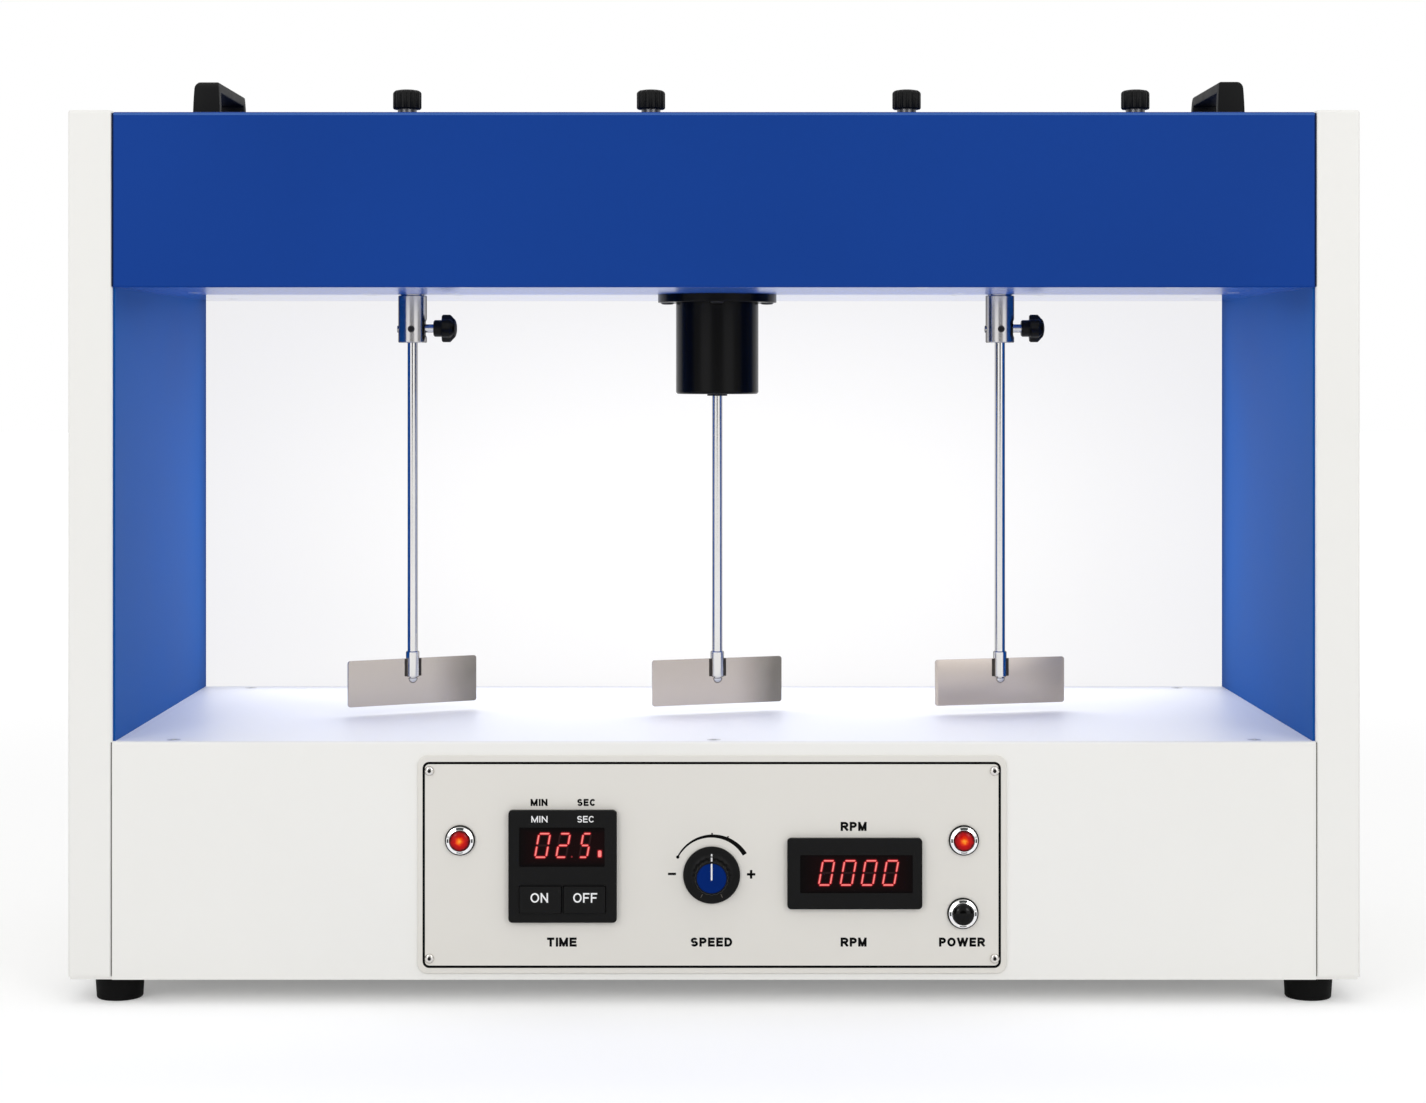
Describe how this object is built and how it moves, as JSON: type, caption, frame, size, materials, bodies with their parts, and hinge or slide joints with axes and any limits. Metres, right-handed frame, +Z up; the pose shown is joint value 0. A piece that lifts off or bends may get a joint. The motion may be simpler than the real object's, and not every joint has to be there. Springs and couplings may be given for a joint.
{
  "type": "jar tester",
  "caption": "Bench jar tester: white and blue housing with a lit bay, stirring paddles on belt-driven spindles, a central motor, and a control panel with timer, speed dial and displays.",
  "frame": {"origin": "on the surface that the feet stand on, under the middle of the whole bounding box", "axes": "+X to the right of someone who faces the controls, +Y away from them, +Z up"},
  "size_m": [0.659, 0.3076, 0.4813],
  "materials": {
    "white_paint": "smooth white powder coat",
    "deck_gloss_white": "glossy white enamel",
    "blue_paint": "glossy blue powder coat",
    "opal_panel": "opal, lit from behind",
    "light_strip": "white board with light emitting diodes",
    "screw_steel": "bright plated",
    "black_plastic": "smooth black",
    "black_paint": "glossy black",
    "iron": "laminated iron",
    "bearing_steel": "ground steel",
    "cast_aluminium": "machined",
    "belt_rubber": "matt black",
    "polished_steel": "polished",
    "satin_steel": "satin stainless",
    "panel_grey": "warm light grey, matt",
    "dark_window": "smoked window",
    "chrome_trim": "mirror chrome",
    "red_lens": "translucent red, lit",
    "blue_cap": "blue insert",
    "foot_rubber": "matt black rubber",
    "supply_metal": "plain folded case",
    "circuit_board": "green board with parts"
  },
  "bodies": {
    "frame": {"left_cheek_shell": "white_paint", "right_cheek_shell": "white_paint", "base_shell": "white_paint", "rear_cover": "white_paint", "deck_plate": "deck_gloss_white", "left_inner_panel": "blue_paint", "right_inner_panel": "blue_paint", "head_shell": "blue_paint", "head_base_plate": "blue_paint", "rear_diffuser": "opal_panel", "rear_led_strips": "light_strip", "countersunk_screws": "screw_steel", "pan_head_screws": "screw_steel", "panel_screws": "screw_steel", "left_handle": "black_plastic", "right_handle": "black_plastic", "timer_bezel": "black_plastic", "rpm_bezel": "black_plastic", "timer_module": "black_plastic", "rpm_module": "black_plastic", "mains_inlet": "black_plastic", "motor_can": "black_paint", "motor_stator": "iron", "ball_bearings": "bearing_steel", "bearing_housings": "cast_aluminium", "drive_belts": "belt_rubber", "control_panel": "panel_grey", "timer_window": "dark_window", "rpm_window": "dark_window", "lamp_bezels": "chrome_trim", "power_switch": "chrome_trim", "lamp_lenses": "red_lens", "rubber_feet": "foot_rubber", "power_supply": "supply_metal", "speed_potentiometer": "supply_metal", "motor_driver": "circuit_board"},
    "lid": {"head_lid": "blue_paint"},
    "lid_knob_one": {"lid_knob_1": "black_plastic"},
    "lid_knob_two": {"lid_knob_2": "black_plastic"},
    "lid_knob_three": {"lid_knob_3": "black_plastic"},
    "lid_knob_four": {"lid_knob_4": "black_plastic"},
    "left_drive": {"left_spindle": "polished_steel", "left_pulley": "cast_aluminium"},
    "right_drive": {"right_spindle": "polished_steel", "right_pulley": "cast_aluminium"},
    "centre_drive": {"motor_rotor": "iron", "drive_pulley": "cast_aluminium", "centre_rod": "satin_steel", "centre_paddle": "satin_steel"},
    "left_agitator": {"left_rod": "satin_steel", "left_paddle": "satin_steel"},
    "right_agitator": {"right_rod": "satin_steel", "right_paddle": "satin_steel"},
    "left_clamp": {"left_clamp_knob": "black_plastic"},
    "right_clamp": {"right_clamp_knob": "black_plastic"},
    "speed_dial": {"speed_knob": "black_plastic", "speed_knob_cap": "blue_cap"},
    "on_key": {"on_button": "black_plastic"},
    "off_key": {"off_button": "black_plastic"},
    "power_key": {"power_button": "black_plastic"}
  },
  "joints": [
    {"name": "lid_lift", "type": "slide", "parent": "frame", "child": "lid", "axis": [0, 0, 1], "range_m": [0, 0.15]},
    {"name": "lid_knob_one_turn", "type": "hinge", "parent": "lid", "child": "lid_knob_one", "pos_m": [-0.1596, -0.11075, 0.4549], "axis": [0, 0, 1], "range_deg": [0, 90]},
    {"name": "lid_knob_two_turn", "type": "hinge", "parent": "lid", "child": "lid_knob_two", "pos_m": [-0.0328, -0.11075, 0.4549], "axis": [0, 0, 1], "range_deg": [0, 90]},
    {"name": "lid_knob_three_turn", "type": "hinge", "parent": "lid", "child": "lid_knob_three", "pos_m": [0.1002, -0.11075, 0.4549], "axis": [0, 0, 1], "range_deg": [0, 90]},
    {"name": "lid_knob_four_turn", "type": "hinge", "parent": "lid", "child": "lid_knob_four", "pos_m": [0.2192, -0.11075, 0.4549], "axis": [0, 0, 1], "range_deg": [0, 90]},
    {"name": "centre_spin", "type": "hinge", "parent": "frame", "child": "centre_drive", "pos_m": [0.0018, -0.01075, 0.363], "axis": [0, 0, 1], "continuous": true},
    {"name": "left_spin", "type": "hinge", "parent": "frame", "child": "left_drive", "pos_m": [-0.1674, -0.01075, 0.363], "axis": [0, 0, 1], "continuous": true},
    {"name": "right_spin", "type": "hinge", "parent": "frame", "child": "right_drive", "pos_m": [0.1588, -0.01075, 0.363], "axis": [0, 0, 1], "continuous": true},
    {"name": "left_lift", "type": "slide", "parent": "left_drive", "child": "left_agitator", "axis": [0, 0, 1], "range_m": [0, 0.06]},
    {"name": "right_lift", "type": "slide", "parent": "right_drive", "child": "right_agitator", "axis": [0, 0, 1], "range_m": [0, 0.06]},
    {"name": "left_clamp_turn", "type": "hinge", "parent": "left_drive", "child": "left_clamp", "pos_m": [-0.1524, -0.01075, 0.3467], "axis": [1, 0, 0], "range_deg": [0, 360]},
    {"name": "right_clamp_turn", "type": "hinge", "parent": "right_drive", "child": "right_clamp", "pos_m": [0.1738, -0.01075, 0.3467], "axis": [1, 0, 0], "range_deg": [0, 360]},
    {"name": "speed_turn", "type": "hinge", "parent": "frame", "child": "speed_dial", "pos_m": [-0.0012, -0.14875, 0.0662], "axis": [0, 1, 0], "range_deg": [-150, 150]},
    {"name": "on_press", "type": "slide", "parent": "frame", "child": "on_key", "axis": [0, 1, 0], "range_m": [0, 0.0012], "stiffness_N_per_m": 1200},
    {"name": "off_press", "type": "slide", "parent": "frame", "child": "off_key", "axis": [0, 1, 0], "range_m": [0, 0.0012], "stiffness_N_per_m": 1200},
    {"name": "power_press", "type": "slide", "parent": "frame", "child": "power_key", "axis": [0, 1, 0], "range_m": [0, 0.003], "stiffness_N_per_m": 800}
  ],
  "couplings": [
    {"joint": "left_spin", "follows": "centre_spin", "ratio": 1},
    {"joint": "right_spin", "follows": "centre_spin", "ratio": 1}
  ]
}
